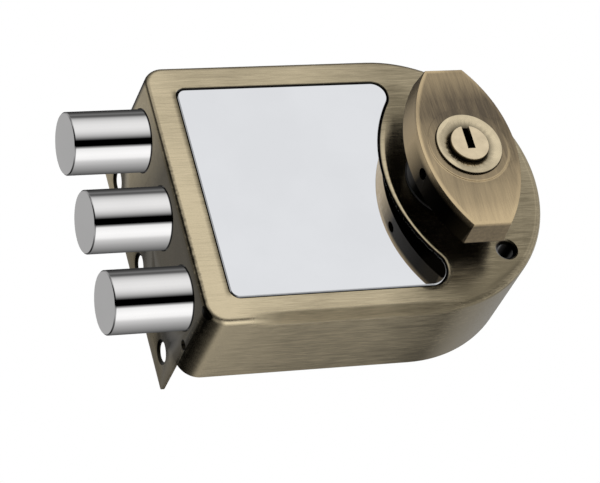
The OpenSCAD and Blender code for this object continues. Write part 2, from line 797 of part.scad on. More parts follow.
// One of the grip's two broad sides, as the whole cone that it is part of
module grip_side(side) {
    bulge = grip_half_w - grip_end_half_w;
    side_r = (grip_half_l ^ 2 + bulge ^ 2) / (2 * bulge);
    translate([side * (side_r - grip_half_w), 0, grip_z])
        cylinder(r1 = side_r + grip_draft, r2 = side_r, h = grip_top_z - grip_z, $fn = 360);
}

// The knob's grip: two broad drafted curves cut by flat ends, under a slight crown
module grip() {
    crown_r = (grip_half_l ^ 2 + grip_crown ^ 2) / (2 * grip_crown);
    intersection() {
        grip_side(-1);
        grip_side(1);
        rotate([90, 0, 90]) translate([0, 0, -2 * grip_half_w]) linear_extrude(4 * grip_half_w) polygon([
            [-grip_half_l - grip_draft, grip_z], [grip_half_l + grip_draft, grip_z],
            [grip_half_l, grip_top_z], [-grip_half_l, grip_top_z]
        ]);
        translate([0, 0, grip_top_z - crown_r])
            rotate([0, 90, 0]) cylinder(r = crown_r, h = 4 * grip_half_w, center = true, $fn = 720);
    }
}

module knob() {
    on_door() color("burlywood") difference() {
        union() {
            grip();
            translate([0, 0, grip_z + 1]) cylinder(r = pad_r, h = pad_z - grip_z - 1);
            translate([0, 0, shoulder_z]) cylinder(r = shoulder_d / 2, h = grip_z - shoulder_z + 1);
            translate([0, 0, neck_foot_z]) cylinder(r = neck_r, h = grip_z - neck_foot_z);
        }
        // Seat of the cylinder
        translate([0, 0, plug_seat_z]) cylinder(r = shell_r, h = grip_top_z);
        translate([0, 0, ring_seat_z]) cylinder(r = ring_r + ring_gap, h = grip_top_z);
        // Groove for the locking slide and the hole for the cam pin
        box([-slide_w / 2 - running, cam_y - 4.4, neck_foot_z - 1],
            [slide_w / 2 + running, slide_groove_r, slide_roof_z]);
        translate([0, 0, neck_foot_z]) cylinder(r = cam_r + cam_pin_r + 0.3, h = web_t + 5);
        // Screw holes of the spindle
        for (a = [30, 150, 270]) rotate([0, 0, a])
            translate([spindle_screw_ring, 0, neck_foot_z - 1]) cylinder(r = spindle_screw_d / 2, h = spindle_screw_bite + 1.5);
        // Hole of the grub screw
        translate([0, 0, grub_z]) rotate([0, 0, grub_angle])
            bar_along_x(shell_r - 1, 2 * grip_half_w, grub_d / 2);
    }
}

module thrust_washer() {
    on_door() color("black") translate([0, 0, case_depth]) difference() {
        cylinder(r = shoulder_d / 2 + 0.2, h = washer_t);
        translate([0, 0, -1]) cylinder(r = neck_bore_r + 0.1, h = washer_t + 2);
    }
}

module spindle() {
    on_door() color("silver") difference() {
        union() {
            translate([0, 0, spindle_foot_z]) cylinder(r = spindle_r, h = flange_plate_z - spindle_foot_z + 1);
            translate([0, 0, flange_plate_z]) cylinder(r = flange_plate_d / 2, h = flange_plate_t);
        }
        box([-tail_slot_w / 2, -tail_slot_l / 2, -1], [tail_slot_w / 2, tail_slot_l / 2, tail_slot_depth]);
        for (a = [30, 150, 270]) rotate([0, 0, a]) translate([spindle_screw_ring, 0, flange_plate_z - 1]) {
            cylinder(r = spindle_screw_d / 2, h = flange_plate_t + 2);
            cylinder(r1 = spindle_screw_d + 1, r2 = spindle_screw_d / 2, h = 1 + spindle_screw_d / 2);
        }
        translate([0, 0, pinion_hub_z()]) bar_along_x(-spindle_d, spindle_d, pinion_pin_r);
    }
}

module spindle_screws() {
    on_door() color("dimgray")
        for (a = [30, 150, 270]) rotate([0, 0, a])
            translate([spindle_screw_ring, 0, flange_plate_z]) flat_screw(spindle_screw_d / 2, flange_plate_t + spindle_screw_bite);
}

// Flanged bush in the back plate that carries the spindle's end
module spindle_bush() {
    on_door() color("goldenrod") difference() {
        union() {
            translate([0, 0, 0.2]) cylinder(r = bush_r, h = plate_t - 0.2 + eps);
            translate([0, 0, plate_t]) cylinder(r = bush_flange_r, h = bush_flange_t);
        }
        translate([0, 0, -1]) cylinder(r = spindle_r + running, h = plate_t + bush_flange_t + 2);
    }
}

// Involute pinion
pinion_pin_r = 1;
hub_r = spindle_r + 2;
function pinion_hub_z() = pinion_z + pinion_w + hub_h / 2;
function involute_deg(r, base_r) = let (a = acos(base_r / r)) tan(a) * 180 / PI - a;
function pinion_tooth(mid) = let (
        base_r = pitch_r * cos(pressure_angle),
        root_r = pitch_r - root_depth,
        half = 90 / pinion_teeth - backlash / 4 / pitch_r * 180 / PI + involute_deg(pitch_r, base_r),
        steps = 6,
        radii = [for (i = [0:steps]) base_r + eps + (tip_r - base_r - eps) * i / steps]
    ) concat(
        [[root_r, mid - half]],
        [for (r = radii) [r, mid - half + involute_deg(r, base_r)]],
        [for (i = [steps:-1:0]) [radii[i], mid + half - involute_deg(radii[i], base_r)]],
        [[root_r, mid + half]]
    );

module pinion() {
    step = 360 / pinion_teeth;
    polar = [for (k = [0:pinion_teeth - 1]) each pinion_tooth(-90 + (k + 0.5) * step)];
    on_door() color("gray") difference() {
        union() {
            translate([0, 0, pinion_z])
                linear_extrude(pinion_w) polygon([for (p = polar) [p[0] * cos(p[1]), p[0] * sin(p[1])]]);
            translate([0, 0, pinion_z + pinion_w - eps]) cylinder(r = hub_r, h = hub_h + eps);
        }
        translate([0, 0, pinion_z - 1]) cylinder(r = spindle_r, h = pinion_w + hub_h + 2);
        translate([0, 0, pinion_hub_z()]) bar_along_x(-spindle_d, spindle_d, pinion_pin_r);
    }
}

module pinion_pin() {
    on_door() color("silver") translate([0, 0, pinion_hub_z()]) bar_along_x(-hub_r, hub_r, pinion_pin_r);
}

// Cylinder in the knob, with the dished ring that shows round the plug
module cylinder_shell() {
    dish_r = ring_r - 1.6;
    on_door() color("wheat") difference() {
        union() {
            translate([0, 0, shell_foot_z]) cylinder(r = shell_r, h = ring_top_z - shell_foot_z - 1);
            translate([0, 0, ring_seat_z]) cylinder(r = ring_r, h = ring_t);
        }
        translate([0, 0, shell_foot_z - 1]) cylinder(r = plug_bore_r, h = ring_top_z);
        translate([0, 0, ring_top_z - dish_depth])
            cylinder(r1 = plug_bore_r, r2 = dish_r + eps, h = dish_depth + eps);
    }
}

module grub_screw() {
    on_door() color("dimgray") translate([0, 0, grub_z]) rotate([0, 0, grub_angle]) difference() {
        bar_along_x(shell_r + 0.1, shell_r + grub_len, grub_d / 2);
        translate([shell_r + grub_len - 2, 0, 0])
            rotate([0, 90, 0]) cylinder(r = grub_socket_r, h = 3, $fn = 6);
    }
}

// Height of a wafer, counted down from the plug's face
function wafer_z(i) = first_wafer_z - i * wafer_pitch;

module key_plug() {
    on_door() color("wheat") difference() {
        translate([0, 0, plug_seat_z + 0.1]) cylinder(r = plug_r, h = plug_top_z - plug_seat_z - 0.1);
        // Keyhole, open at the plug's rim
        box([-key_w / 2, -key_below, key_slot_z], [key_w / 2, plug_r + 1, plug_top_z + 1]);
        // Slots of the wafers
        for (i = [0:wafers_n - 1])
            box([-wafer_w / 2 - wafer_gap, -plug_r - 1, wafer_z(i) - wafer_t / 2 - wafer_gap],
                [wafer_w / 2 + wafer_gap, plug_r + 1, wafer_z(i) + wafer_t / 2 + wafer_gap]);
        // Groove of the clip and the hole of the cam pin
        translate([0, 0, clip_z]) difference() {
            cylinder(r = plug_r + 1, h = clip_t);
            translate([0, 0, -1]) cylinder(r = plug_r - clip_depth, h = clip_t + 2);
        }
        translate([-cam_y, cam_y, plug_seat_z - 1]) cylinder(r = cam_pin_r, h = cam_pin_len + 1);
    }
}

module wafers() {
    on_door() color("gold")
        for (i = [0:wafers_n - 1]) difference() {
            box([-wafer_w / 2, -wafer_half_h, wafer_z(i) - wafer_t / 2],
                [wafer_w / 2, wafer_half_h, wafer_z(i) + wafer_t / 2]);
            box([-key_w / 2 - 0.1, -key_below - 0.1, wafer_z(i) - wafer_t],
                [key_w / 2 + 0.1, wafer_half_h - 1.3, wafer_z(i) + wafer_t]);
        }
}

module cam_pin() {
    on_door() color("silver") translate([-cam_y, cam_y, slide_z + slide_gap])
        cylinder(r = cam_pin_r, h = plug_seat_z + cam_pin_len - slide_z - slide_gap);
}

module plug_clip() {
    on_door() color("dimgray") translate([0, 0, clip_z]) difference() {
        cylinder(r = clip_r, h = clip_t);
        translate([0, 0, -1]) cylinder(r = plug_r - clip_depth, h = clip_t + 2);
        box([-plug_r / 3, 0, -1], [plug_r / 3, 2 * clip_r, clip_t + 1]);
    }
}

// Slide that the key pushes into a notch of the case, so that the knob cannot turn
module lock_slide() {
    on_door() color("peru") translate([0, 0, slide_z + running]) difference() {
        intersection() {
            box([-slide_w / 2, cam_y - 2.1, 0], [slide_w / 2, neck_r, slide_t]);
            cylinder(r = slide_nose_r, h = slide_t);
        }
        box([-0.3, cam_y - cam_pin_r - 0.1, -1], [cam_r + cam_pin_r + 0.3, cam_y + cam_pin_r + 0.1, slide_t + 1]);
    }
}

housing();
mirror_panel();
mirror_tape();
back_plate();
back_plate_screws();
bolt_top();
bolt_middle();
bolt_bottom();
bush_top();
bush_middle();
bush_bottom();
carriage_bar();
bolt_screws();
drive_rack();
rack_screws();
guide_rod_upper();
guide_rod_lower();
rack_guide();
rack_guide_screws();
detent_spring();
detent_rivets();
knob();
thrust_washer();
spindle();
spindle_screws();
spindle_bush();
pinion();
pinion_pin();
cylinder_shell();
grub_screw();
key_plug();
wafers();
cam_pin();
plug_clip();
lock_slide();
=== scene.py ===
"""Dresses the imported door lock: finer meshes and finishes on its CAD frame, and a plain studio."""

import math

import bmesh
import bpy
from bpy.props import (
    FloatProperty,
    FloatVectorProperty,
    IntProperty,
    PointerProperty,
)
from mathutils import Euler, Matrix, Vector


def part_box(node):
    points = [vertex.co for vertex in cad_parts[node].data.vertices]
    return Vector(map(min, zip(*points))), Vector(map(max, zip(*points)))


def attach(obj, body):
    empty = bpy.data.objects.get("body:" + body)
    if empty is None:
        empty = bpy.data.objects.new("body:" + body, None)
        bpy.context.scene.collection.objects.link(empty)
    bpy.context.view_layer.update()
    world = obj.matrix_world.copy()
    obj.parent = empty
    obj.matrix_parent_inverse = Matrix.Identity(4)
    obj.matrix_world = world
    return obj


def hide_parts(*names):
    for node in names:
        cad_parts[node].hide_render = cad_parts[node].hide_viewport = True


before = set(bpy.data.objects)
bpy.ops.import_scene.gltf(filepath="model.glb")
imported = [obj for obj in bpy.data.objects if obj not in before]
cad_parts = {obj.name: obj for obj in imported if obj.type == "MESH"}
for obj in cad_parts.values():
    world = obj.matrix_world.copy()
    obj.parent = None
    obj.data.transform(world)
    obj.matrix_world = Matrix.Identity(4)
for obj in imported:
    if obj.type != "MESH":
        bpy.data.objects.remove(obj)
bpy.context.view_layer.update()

bl_info = {
    "name": "Door lock",
    "version": (1, 0, 0),
    "blender": (4, 5, 0),
    "location": "View3D > Sidebar > Door lock",
    "description": "Finishes the pieces of a surface-mounted door lock",
    "category": "Object",
}

MM = 0.001


def box_in_mm(node):
    """A CAD node's lowest and highest corners in millimetres."""
    low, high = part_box(node)
    return low / MM, high / MM


# Places and sizes on the lock, in millimetres

# x runs along the bolts, y from the front to the door and z up
HOUSING_LOW, HOUSING_HIGH = box_in_mm("housing")
FRONT_Y = HOUSING_LOW.y
WALL_X = HOUSING_LOW.x
CASE_HALF = HOUSING_HIGH.z
ROUND_X = HOUSING_HIGH.x - CASE_HALF

# The concave edge beside the knob, and the lower horn of the mirror's recess
ARC_CENTRE = Vector((27.7, 0, 2.4))
ARC_R = 48.5
HORN_CENTRE = Vector((-16.0, 0, -31.8))
HORN_R = 7.0
ARC_MEETS_HORN_Z = -27.5

# Holes in the wall and the flange
BOLT_PITCH = 29.0
BOLT_Y = -18.6
BORE_R = 10.4
FLANGE_HOLE_PITCH = 32.0
FLANGE_HOLE_Y = 9.3
COUNTERSINK_R = 4.3
GAUGE_HOLE = Vector((0, -9.5, -40.3))
GAUGE_HOLE_R = 1.7

# Places of painted shade: the front beside the knob, and the hollow at the lower left corner
BESIDE_KNOB = Vector((-12, -33, 28))
FOOT_CORNER = Vector((-91.4, -32.0, -42.0))

# The bolts' bevel, wiper groove, tail bevel and tapped hole
BOLT_BEVEL = 0.4
GROOVE_START = WALL_X - 0.05
GROOVE_W = 0.95
GROOVE_DEPTH = 0.4
TAIL_BEVEL = 0.3
TAP_R = 3.0
TAP_DEPTH = 11.0

# The knob's grip, whose sides bulge, and the raised pad and the cylinder's seat on its axis
KNOB_TOP_Y = box_in_mm("knob")[0].y
GRIP_BACK_Y = -43.2
GRIP_HALF_L = 28.9
GRIP_HALF_W = 16.0
GRIP_BULGE_R = 43.0
PAD_R = 13.5
SEAT_R = 9.4
PLUG_FACE_Y = box_in_mm("key_plug")[0].y


# Sizes and colours


def colour(name, description, default):
    """A colour property in linear light."""
    return FloatVectorProperty(
        name=name, description=description, default=default, subtype="COLOR", size=3, min=0.0, max=1.0
    )


def length(name, description, default_mm, low_mm, high_mm):
    """A length property, given in millimetres."""
    return FloatProperty(
        name=name, description=description, default=default_mm * MM, min=low_mm * MM, max=high_mm * MM,
        subtype="DISTANCE", unit="LENGTH", precision=5,
    )


class LockSizes(bpy.types.PropertyGroup):
    """Rounding of the edges and fineness of the turned pieces."""

    ridge_round: length("Ridge rounding", "Rounding of the concave edge beside the knob", 1.15, 0.2, 1.25)
    edge_round: length("Edge rounding", "Rounding of the case's other sharp edges", 0.35, 0.05, 0.4)
    mirror_round: length("Mirror edge", "Width of the ground edge round the mirror", 0.15, 0.05, 0.3)
    knob_round: length("Knob edge rounding", "Rounding of the rim of the knob's grip", 0.7, 0.1, 1.5)
    ring_round: length("Ring edge rounding", "Rounding of the edges of the cylinder's ring", 0.12, 0.02, 0.3)
    plug_round: length("Plug edge rounding", "Rounding of the rim of the key plug", 0.15, 0.02, 0.3)
    bolt_round: length("Bolt nose rounding", "Rounding of the bevel on a bolt's nose", 0.12, 0.02, 0.2)
    turned_steps: IntProperty(
        name="Turned steps", description="Segments round a turned piece", default=192, min=48, max=256
    )


class LockColours(bpy.types.PropertyGroup):
    """Colours of the finishes."""

    # The light and dark brass are the ends of the case's wear and painted light; the dark one, scaled down,
    # is also the black of painted shade
    brass_light: colour("Worn brass", "Antique brass where it is rubbed bright", (0.80, 0.68, 0.46))
    brass_dark: colour("Dark brass", "Antique brass where its patina is left", (0.22, 0.185, 0.12))
    # The light and dark knob colours are the ends of the knob's wear and painted light; the dark one, scaled
    # down, is also the black of painted shade
    knob_light: colour("Worn knob", "The knob's bronze where it is rubbed bright", (0.74, 0.575, 0.345))
    knob_dark: colour("Dark knob", "The knob's bronze where its patina is left", (0.14, 0.112, 0.08))
    chrome: colour("Chrome", "Polished chrome of the bolts", (0.925, 0.915, 0.91))
    mirror: colour("Mirror", "Silvered glass of the front", (0.875, 0.89, 0.92))
    plug_brass: colour("Plug brass", "Satin brass of the key plug", (0.93, 0.78, 0.54))
    ring_brass: colour("Ring brass", "Satin brass of the cylinder's ring", (0.86, 0.73, 0.50))
    steel: colour("Steel", "Zinc-plated steel inside the case", (0.55, 0.55, 0.54))
    floor: colour("Floor", "Pale studio floor", (0.80, 0.80, 0.80))


# Shader building


class Shader:
    """A material's node tree, with short calls to add and join its nodes."""

    def __init__(self, name):
        self.material = bpy.data.materials.new(name)
        self.material.use_nodes = True
        self.tree = self.material.node_tree
        self.tree.nodes.clear()
        self.output = self.add("ShaderNodeOutputMaterial")
        self.shade = self.add("ShaderNodeBsdfPrincipled")
        self.join(self.shade, "BSDF", self.output, "Surface")
        self.coords = self.add("ShaderNodeTexCoord")

    def add(self, kind, **values):
        """Adds a node and sets its attributes."""
        node = self.tree.nodes.new(kind)
        for key, value in values.items():
            setattr(node, key, value)
        return node

    def join(self, source, out_name, target, in_name):
        """Joins one node's output to another's input."""
        self.tree.links.new(source.outputs[out_name], target.inputs[in_name])

    def set(self, **values):
        """Sets values on the shader's own sockets."""
        for key, value in values.items():
            self.shade.inputs[key.title()].default_value = value

    def feed(self, source, in_name):
        """Joins an output to a socket of the main shader."""
        self.tree.links.new(source, self.shade.inputs[in_name])

    def noise(self, scale, stretch=(1, 1, 1), detail=2.0, rough=0.5, shift=(0, 0, 0)):
        """Noise on object coordinates, stretched by a mapping; returns its factor output."""
        mapping = self.add("ShaderNodeMapping")
        mapping.inputs["Scale"].default_value = stretch
        mapping.inputs["Location"].default_value = shift
        self.join(self.coords, "Object", mapping, "Vector")
        noise = self.add("ShaderNodeTexNoise")
        noise.inputs["Scale"].default_value = scale
        noise.inputs["Detail"].default_value = detail
        noise.inputs["Roughness"].default_value = rough
        self.join(mapping, "Vector", noise, "Vector")
        return noise.outputs["Fac"]

    def spread(self, source, low, high, to_low=0.0, to_high=1.0):
        """Maps a range of a value to another range, clamped."""
        node = self.add("ShaderNodeMapRange")
        node.inputs["From Min"].default_value = low
        node.inputs["From Max"].default_value = high
        node.inputs["To Min"].default_value = to_low
        node.inputs["To Max"].default_value = to_high
        self.tree.links.new(source, node.inputs["Value"])
        return node.outputs["Result"]

    def rise(self, source, start, end, height=1.0):
        """Goes from 0 to a height between two levels of a value."""
        return self.spread(source, start, end, 0.0, height)

    def fall(self, source, start, end, height=1.0):
        """Goes from a height to 0 between two levels of a value."""
        return self.spread(source, start, end, height, 0.0)

    def maths(self, operation, first, second=0.0):
        """One arithmetic step on values or outputs."""
        node = self.add("ShaderNodeMath", operation=operation)
        for socket, value in zip(node.inputs, (first, second)):
            if isinstance(value, (int, float)):
                socket.default_value = value
            else:
                self.tree.links.new(value, socket)
        return node.outputs["Value"]

    def chain(self, operation, first, *others):
        """Takes several values together by one kind of arithmetic."""
        for other in others:
            first = self.maths(operation, first, other)
        return first

    def plus(self, *values):
        """The sum of values."""
        return self.chain("ADD", *values)

    def minus(self, value, taken):
        """One value less another."""
        return self.maths("SUBTRACT", value, taken)

    def times(self, *values):
        """The product of values."""
        return self.chain("MULTIPLY", *values)

    def most(self, *values):
        """The largest of values."""
        return self.chain("MAXIMUM", *values)

    def either_side(self, value):
        """A value without its sign."""
        return self.maths("ABSOLUTE", value)

    def reach(self, first, second, centre=(0.0, 0.0)):
        """How far a pair of coordinates lies from a centre."""
        first = self.minus(first, centre[0])
        second = self.minus(second, centre[1])
        return self.maths("SQRT", self.plus(self.times(first, first), self.times(second, second)))

    def mix(self, factor, first, second):
        """Mixes two values by a factor."""
        node = self.add("ShaderNodeMix", data_type="FLOAT")
        for socket, value in zip((node.inputs[0], node.inputs[2], node.inputs[3]), (factor, first, second)):
            self.tree.links.new(value, socket)
        return node.outputs[0]

    def blend(self, factor, first, second):
        """Mixes two colours, given as outputs or as numbers, by a factor."""
        node = self.add("ShaderNodeMix", data_type="RGBA")
        self.tree.links.new(factor, node.inputs[0])
        for socket, value in zip((node.inputs[6], node.inputs[7]), (first, second)):
            if isinstance(value, bpy.types.NodeSocket):
                self.tree.links.new(value, socket)
            else:
                socket.default_value = (*value, 1.0)
        return node.outputs[2]

    def bump(self, height, strength, distance_mm, under=None):
        """Adds a bump from a height value, over an optional (height, distance in mm) below it."""
        node = self.add("ShaderNodeBump")
        node.inputs["Strength"].default_value = strength
        node.inputs["Distance"].default_value = distance_mm * MM
        self.tree.links.new(height, node.inputs["Height"])
        self.join(node, "Normal", self.shade, "Normal")
        if under:
            broad = self.add("ShaderNodeBump")
            broad.inputs["Distance"].default_value = under[1] * MM
            self.tree.links.new(under[0], broad.inputs["Height"])
            self.join(broad, "Normal", node, "Normal")

    def in_mm(self):
        """The object coordinates in millimetres."""
        node = self.add("ShaderNodeVectorMath", operation="SCALE")
        self.join(self.coords, "Object", node, "Vector")
        node.inputs["Scale"].default_value = 1 / MM
        return node.outputs["Vector"]

    def place(self):
        """The object coordinates in millimetres, split into x, y and z outputs."""
        node = self.add("ShaderNodeSeparateXYZ")
        self.tree.links.new(self.in_mm(), node.inputs["Vector"])
        return node.outputs["X"], node.outputs["Y"], node.outputs["Z"]

    def apart(self, point):
        """How far a surface lies from a point, in millimetres."""
        node = self.add("ShaderNodeVectorMath", operation="DISTANCE")
        self.tree.links.new(self.in_mm(), node.inputs[0])
        node.inputs[1].default_value = point
        return node.outputs["Value"]

    def brushed_along(self, direction):
        """Turns the shader's anisotropy so that reflections spread across the brushing."""
        turn = self.add(
            "ShaderNodeVectorTransform", vector_type="VECTOR", convert_from="OBJECT", convert_to="WORLD"
        )
        turn.inputs["Vector"].default_value = direction
        normal = self.add("ShaderNodeNewGeometry")
        across = self.add("ShaderNodeVectorMath", operation="CROSS_PRODUCT")
        self.join(normal, "Normal", across, "Vector")
        self.tree.links.new(turn.outputs["Vector"], across.inputs[1])
        self.join(across, "Vector", self.shade, "Tangent")


def scaled(base, share):
    """A colour with all its channels scaled alike."""
    return tuple(channel * share for channel in base)


# Wear, painted light and painted shade

# Each function maps a piece's finish over its place in millimetres. Wear, with painted light, goes from 0,
# dark, to 1, bright. Painted shade goes from 0, clean, to 1, black.


def within_arc(shader, x, z):
    """How far a point of the front lies from the concave edge and the horn below it."""
    upper = shader.minus(ARC_R, shader.reach(x, z, (ARC_CENTRE.x, ARC_CENTRE.z)))
    lower = shader.minus(shader.reach(x, z, (HORN_CENTRE.x, HORN_CENTRE.z)), HORN_R)
    return shader.mix(shader.rise(z, ARC_MEETS_HORN_Z - 0.1, ARC_MEETS_HORN_Z + 0.1), lower, upper)


def arc_lip(shader):
    """Height of the front where it curves down to the concave edge."""
    x, _, z = shader.place()
    inward = within_arc(shader, x, z)
    slope = shader.times(
        shader.fall(inward, 0, 1.6), shader.rise(inward, -0.4, -0.2), shader.fall(z, 20, 26)
    )
    return shader.minus(1.0, shader.times(slope, slope))


def case_wear_and_light(shader):
    """Where the case is rubbed, with painted light and shade: most at its left, darker to the right and low
    down, painted highlights along the concave edge and the round end's rim, painted shade beside the knob,
    and darker along the mirror's left edge.
    """
    x, y, z = shader.place()
    from_wall = shader.minus(x, WALL_X)
    from_front = shader.minus(y, FRONT_Y)
    inward = within_arc(shader, x, z)
    # Lighter at the left, darker to the right and low down: rubbed wear together with painted light
    left = shader.spread(from_wall, 6, 30, 0.92, 0.62)
    right = shader.plus(shader.rise(x, -35, 8, -0.5), shader.rise(x, 20, 32, 0.12))
    tilt = shader.times(shader.spread(z, -40, 5, -0.24, 0.2), shader.rise(x, -30, 15))
    underside = shader.times(
        shader.fall(shader.plus(z, CASE_HALF), 0.2, 2.5), shader.spread(x, -65, -35, 0.1, -0.1)
    )
    lower_strip = shader.times(shader.fall(z, -39, -36, -0.09), shader.rise(x, -84, -76))
    # Painted shade beside the knob, where the knob's dark reflection falls on the front
    beside_knob = shader.fall(shader.apart(BESIDE_KNOB), 5, 12, -0.28)
    by_mirror = shader.times(
        shader.rise(from_wall, 7.4, 9.0, -0.9),
        shader.fall(from_wall, 9.4, 9.6),
        shader.fall(shader.either_side(z), CASE_HALF - 11, CASE_HALF - 8.6),
    )
    # Painted highlight along the concave edge beside the knob
    ridge = shader.times(
        shader.fall(inward, 0.4, 1.7, 0.55),
        shader.rise(inward, -0.3, 0),
        shader.fall(z, 6, 20),
        shader.rise(x, -24, -18),
        shader.fall(from_front, 0.6, 1.0),
    )
    # Painted highlight along the rim of the round end
    round_rim = shader.times(
        shader.rise(shader.reach(x, z, (ROUND_X, 0)), CASE_HALF - 2.6, CASE_HALF - 1.2),
        shader.fall(from_front, 0.8, 1.4, 0.5),
        shader.rise(x, -5, 10),
    )
    return shader.plus(left, right, tilt, underside, lower_strip, beside_knob, by_mirror, ridge, round_rim)


def case_soft(shader):
    """Extra roughness along the lower edge of the front, which is rubbed dull between its ends."""
    x, y, z = shader.place()
    return shader.times(
        shader.rise(x, -80, -66),
        shader.fall(x, -24, -6),
        shader.fall(shader.plus(z, CASE_HALF), 2.0, 3.2, 0.45),
        shader.fall(shader.minus(y, FRONT_Y), 2.0, 4.0),
    )


def holes_in_row(shader, y, z, pitch, hole_y, radius):
    """A row of round holes up the wall, an even pitch apart and one of them level with z = 0."""
    # The row starts four pitches down, well below the lock
    off = shader.maths("PINGPONG", shader.plus(z, 4 * pitch), pitch / 2)
    return shader.fall(shader.reach(y, off, (hole_y, 0)), radius, radius + 0.15, 0.97)


def case_painted_shade(shader):
    """Painted shade on the case: black down its left wall, at its upper and lower left corners, inside its
    recesses and in its bores and screw holes.
    """
    x, y, z = shader.place()
    from_wall = shader.minus(x, WALL_X)
    from_front = shader.minus(y, FRONT_Y)
    grain = shader.noise(1.0 / (1.5 * MM), detail=3.0)
    ragged = shader.plus(from_wall, shader.spread(grain, 0.3, 0.7, -0.5, 0.5))
    # Painted shade down the left wall, darker towards the bottom
    wall = shader.times(
        shader.fall(ragged, 0.4, 1.5),
        shader.plus(shader.spread(z, -44, 0, 0.84, 0.78), shader.rise(z, 10, 36, -0.92)),
        shader.spread(y, 0, 4, 1.0, 0.75),
    )
    past_round = shader.most(shader.minus(x, ROUND_X), 0.0)
    inside = shader.times(
        shader.rise(from_front, 0.2, 0.6),
        shader.rise(from_wall, 8.0, 8.4),
        shader.fall(shader.reach(past_round, z), CASE_HALF - 3.2, CASE_HALF - 2.6),
    )
    bores = shader.times(
        holes_in_row(shader, y, z, BOLT_PITCH, BOLT_Y, BORE_R),
        shader.rise(from_wall, 0.02, 0.08),
        shader.fall(x, -10, -5),
    )
    countersinks = shader.times(
        holes_in_row(shader, y, z, FLANGE_HOLE_PITCH, FLANGE_HOLE_Y, COUNTERSINK_R),
        shader.rise(from_wall, 0.03, 0.12),
        shader.rise(y, 0.5, 1.0),
    )
    gauge_hole = shader.times(
        shader.fall(shader.reach(y, z, (GAUGE_HOLE.y, GAUGE_HOLE.z)), GAUGE_HOLE_R, GAUGE_HOLE_R + 0.2, 0.99),
        shader.fall(from_wall, 6, 7),
    )
    foot = shader.times(
        shader.fall(ragged, 0.8, 4.5, 0.98),
        shader.fall(z, -41, -36),
        shader.rise(from_front, 0.3, 0.9),
        shader.spread(from_front, 5, 13, 1.0, 0.8),
        shader.rise(from_wall, 0.1, 0.9),
    )
    from_corner = shader.plus(from_wall, shader.times(shader.plus(z, CASE_HALF), 0.4))
    hollow = shader.times(
        shader.fall(shader.apart(FOOT_CORNER), 2.4, 4.0, 0.99), shader.fall(from_corner, 3.0, 3.8)
    )
    brow = shader.times(
        shader.fall(ragged, 2, 7, 0.95),
        shader.rise(z, CASE_HALF - 7, CASE_HALF - 5),
        shader.rise(from_front, 0.3, 0.9),
    )
    return shader.most(wall, foot, brow, hollow, inside, countersinks, bores, gauge_hole)


def knob_wear_and_light(shader):
    """Where the knob is rubbed, with painted light: lighter at its two ends and low on its face, with painted
    highlights on its flanks, its rim and the pad's edge, brighter towards its left.
    """
    x, y, z = shader.place()
    from_top = shader.minus(y, KNOB_TOP_Y)
    up_or_down = shader.either_side(z)
    # Ends lighter and the face lighter low down: rubbed wear with a painted highlight where the ends curve
    ends = shader.plus(
        shader.spread(z, -25, 11, 0.74, 0.04), shader.fall(z, -29, -21, 0.28), shader.rise(z, 17, 26, 0.35)
    )
    face = shader.times(ends, shader.spread(from_top, 0.9, 2.0, 1.0, 0.35))
    thumbed = shader.times(shader.fall(x, -14, -7, 0.16), shader.fall(up_or_down, 8, 15))
    # Painted light on the grip's sides
    flank = shader.times(shader.rise(from_top, 0.6, 1.6, 0.95), shader.fall(up_or_down, 28.8, 29.1))
    face = shader.most(shader.plus(face, thumbed), flank)
    bulge = shader.times(z, z, 0.5 / GRIP_BULGE_R)
    in_from_side = shader.minus(shader.minus(GRIP_HALF_W, bulge), shader.either_side(x))
    in_from_end = shader.minus(GRIP_HALF_L, up_or_down)
    # Painted highlight along the rounded rim, brighter at the left
    rim = shader.times(
        shader.fall(shader.maths("MINIMUM", in_from_side, in_from_end), 0.4, 1.2, 0.5),
        shader.spread(x, -2, 2, 1.0, 0.3),
        shader.spread(from_top, 0.7, 1.8, 1.0, 0.12),
    )
    off_pad_edge = shader.either_side(shader.minus(shader.reach(x, z), PAD_R))
    # Painted highlight along the pad's crease
    pad_edge = shader.times(shader.fall(off_pad_edge, 0.2, 0.6, 0.4), shader.fall(z, -6, 4))
    return shader.plus(face, rim, pad_edge)


def knob_painted_shade(shader):
    """Painted shade on the knob: black under its grip, round its neck and low at its left."""
    x, y, z = shader.place()
    under = shader.rise(y, GRIP_BACK_Y - 0.4, GRIP_BACK_Y - 0.05, 0.99)
    low_left = shader.times(
        shader.fall(z, -7, 5, 0.98),
        shader.spread(z, -28, -22, 0.9, 1.0),
        shader.rise(shader.minus(y, KNOB_TOP_Y), 0.9, 3.0),
        shader.fall(shader.either_side(z), GRIP_HALF_L, GRIP_HALF_L + 0.3),
        shader.fall(x, -4, 0),
    )
    return shader.most(under, low_left)


def ring_painted_shade(shader):
    """Painted shade on the ring: dark low in its dish, at its lower edge and down its outside."""
    x, _, z = shader.place()
    off_axis = shader.reach(x, z)
    dish = shader.fall(off_axis, 6.5, 8.6, 0.75)
    outside = shader.rise(off_axis, 10.75, 10.95, 0.8)
    lower = shader.fall(z, -10, -6, 0.24)
    return shader.most(dish, outside, lower)


def plug_painted_shade(shader):
    """Painted shade on the plug: dark down its outside and inside its keyhole."""
    x, y, z = shader.place()
    from_face = shader.minus(y, PLUG_FACE_Y)
    outside = shader.rise(from_face, 0.12, 0.5, 0.97)
    keyhole = shader.times(shader.rise(from_face, 0.01, 0.06), shader.fall(shader.reach(x, z), 5.6, 5.9))
    return shader.most(outside, keyhole)


def bolt_groove_shade(shader):
    """A painted line of black shade in a thrown bolt's wiper groove, where it leaves the wall."""
    from_wall = shader.minus(shader.place()[0], WALL_X)
    return shader.times(shader.rise(from_wall, -0.5, -0.3), shader.fall(from_wall, 1.0, 1.1, 0.98))


# Finishes

